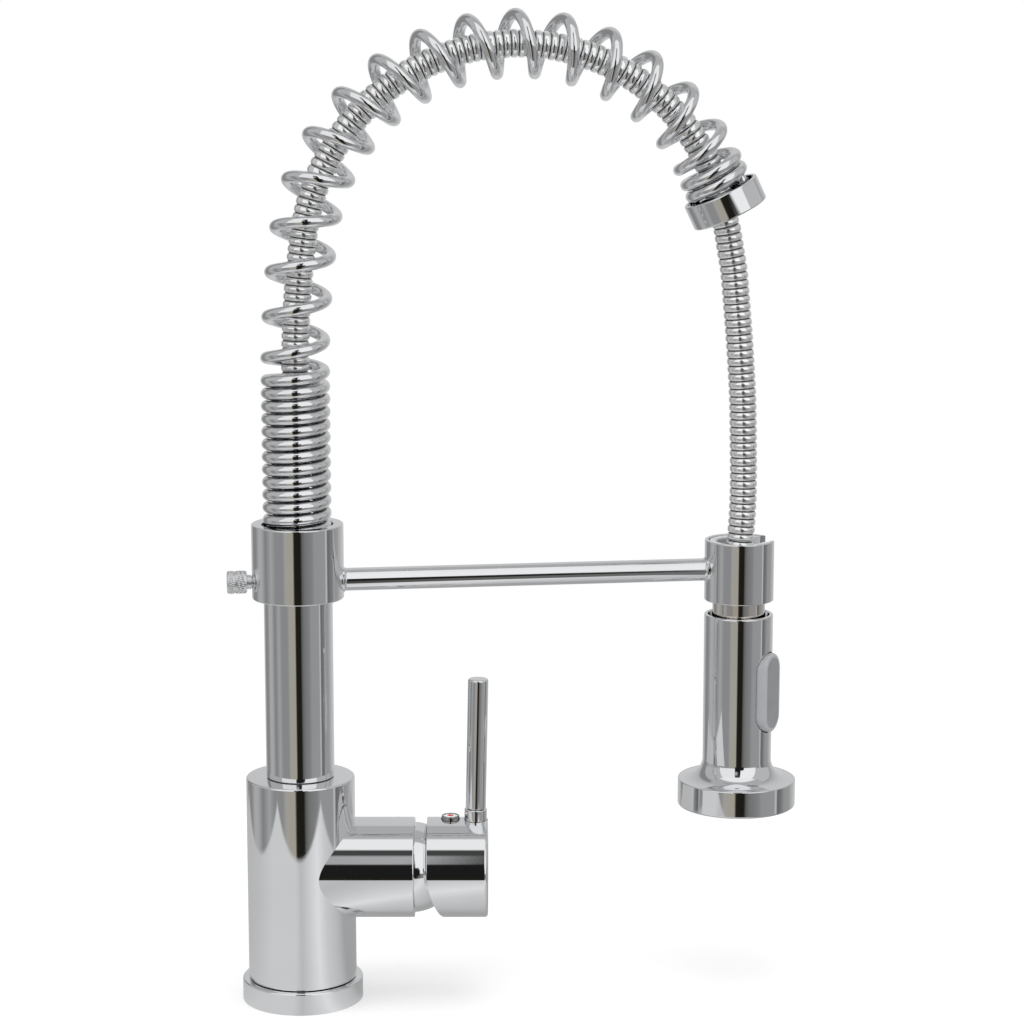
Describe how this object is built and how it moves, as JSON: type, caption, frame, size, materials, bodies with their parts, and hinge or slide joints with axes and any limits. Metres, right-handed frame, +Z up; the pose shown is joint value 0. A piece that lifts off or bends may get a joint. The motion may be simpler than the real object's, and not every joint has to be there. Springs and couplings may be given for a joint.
{
  "type": "pull-out kitchen mixer tap",
  "caption": "Chrome kitchen mixer tap with a side lever, a coil-spring arch carrying a ribbed hose, and a pull-out spray head held in a docking arm.",
  "frame": {"origin": "centre of the base's underside, where the tap stands on the deck", "axes": "+Z up along the riser; +X along the side branch that carries the handle; the spout is swung 8 degrees from +X towards +Y"},
  "size_m": [0.2531, 0.0805, 0.4362],
  "materials": {
    "chrome": "polished",
    "brass": "machined",
    "steel": "plain",
    "hose": "ribbed metal",
    "rubber": "matte",
    "soft_grey": "matte",
    "nylon": "matte",
    "plastic": "satin",
    "ceramic": "lapped ceramic",
    "white": "gloss"
  },
  "bodies": {
    "mixer_body": {"base_ring": "chrome", "base_seal": "rubber", "body": "chrome", "riser_bush": "nylon", "riser_lock_screw": "steel", "port_seal": "rubber", "cartridge_housing": "plastic", "fixed_disc": "ceramic", "retaining_nut": "brass", "bonnet": "chrome"},
    "cartridge": {"moving_disc": "ceramic", "cartridge_rotor": "plastic", "pivot_pin": "steel"},
    "handle": {"handle_hub": "chrome", "cartridge_stem": "brass", "handle_screw": "steel", "index_plug": "white", "lever_ferrule": "chrome", "lever": "chrome"},
    "spout": {"riser": "chrome", "riser_oring_lower": "rubber", "riser_oring_upper": "rubber", "spring_holder": "brass", "hose_nut": "brass", "spring": "chrome", "hose_in_spring": "hose"},
    "arm": {"arm_collar": "chrome", "collar_liner": "nylon", "arm_rod": "chrome", "dock_ring": "chrome", "dock_liner": "soft_grey"},
    "clamp": {"clamp_pad": "nylon"},
    "thumbscrew": {"thumbscrew": "chrome"},
    "hose_end": {"end_collar": "chrome", "hose_drop": "hose", "neck_nut": "chrome", "swivel_seal": "rubber"},
    "spray_head": {"head_shell": "chrome", "head_waterway": "plastic", "check_valve": "nylon", "button_pin": "steel", "nozzle_mat": "soft_grey", "aerator_housing": "chrome", "aerator_screen": "steel", "face_ring": "chrome"},
    "button": {"rocker_button": "plastic"},
    "diverter": {"diverter_spool": "nylon"}
  },
  "joints": [
    {"name": "spout_swing", "type": "hinge", "parent": "mixer_body", "child": "spout", "pos_m": [0, 0, 0.1], "axis": [0, 0, 1], "continuous": true},
    {"name": "arm_height", "type": "slide", "parent": "spout", "child": "arm", "axis": [0, 0, 1], "range_m": [0, 0.01]},
    {"name": "clamp_travel", "type": "slide", "parent": "arm", "child": "clamp", "axis": [-0.9903, -0.1392, 0], "range_m": [0, 0.0024]},
    {"name": "thumbscrew_turn", "type": "hinge", "parent": "clamp", "child": "thumbscrew", "pos_m": [0, 0, 0.19], "axis": [-0.9903, -0.1392, 0], "range_deg": [0, 1080]},
    {"name": "spray_pull", "type": "slide", "parent": "spout", "child": "hose_end", "axis": [0, 0, 1], "range_m": [-0.08, 0], "stiffness_N_per_m": 60, "springref_m": 0.12, "deforming": ["spring", "hose_in_spring"]},
    {"name": "head_turn", "type": "hinge", "parent": "hose_end", "child": "spray_head", "pos_m": [0.19529, 0.02745, 0.15], "axis": [0, 0, 1], "continuous": true},
    {"name": "button_rock", "type": "hinge", "parent": "spray_head", "child": "button", "pos_m": [0.20482, 0.02195, 0.135], "axis": [0.5, 0.866, 0], "range_deg": [-4, 4]},
    {"name": "diverter_travel", "type": "slide", "parent": "spray_head", "child": "diverter", "axis": [0, 0, 1], "range_m": [-0.00052, 0.00052]},
    {"name": "temperature", "type": "hinge", "parent": "mixer_body", "child": "cartridge", "pos_m": [0.0495, 0, 0.06], "axis": [1, 0, 0], "range_deg": [-45, 45]},
    {"name": "flow", "type": "hinge", "parent": "cartridge", "child": "handle", "pos_m": [0.0495, 0, 0.06], "axis": [0, 1, 0], "range_deg": [0, 22]}
  ],
  "couplings": [
    {"joint": "thumbscrew_turn", "follows": "clamp_travel", "rad_per_m": 7854},
    {"joint": "button_rock", "follows": "diverter_travel", "rad_per_m": 135.1}
  ]
}
